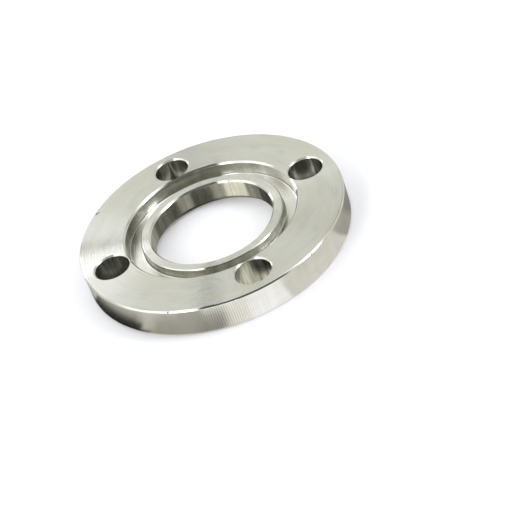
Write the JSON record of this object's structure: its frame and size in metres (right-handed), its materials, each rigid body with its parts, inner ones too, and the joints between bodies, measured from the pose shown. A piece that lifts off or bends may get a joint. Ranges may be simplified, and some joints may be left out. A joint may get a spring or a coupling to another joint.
{
  "type": "pipe flange",
  "caption": "Flat round steel pipe flange with a bored centre, a set-back lip round the bore inside a deep ring recess, and bolt holes near the rim.",
  "frame": {"origin": "centre of the flat back face, which the flange rests on", "axes": "+Z along the bore axis, from the back face to the recessed front face; the bolt holes lie on the diagonals between X and Y"},
  "size_m": [0.1524, 0.1524, 0.0167],
  "materials": {
    "steel": "bare duplex stainless steel, fine turned satin"
  },
  "bodies": {
    "root": {"flange": "steel"}
  },
  "joints": []
}
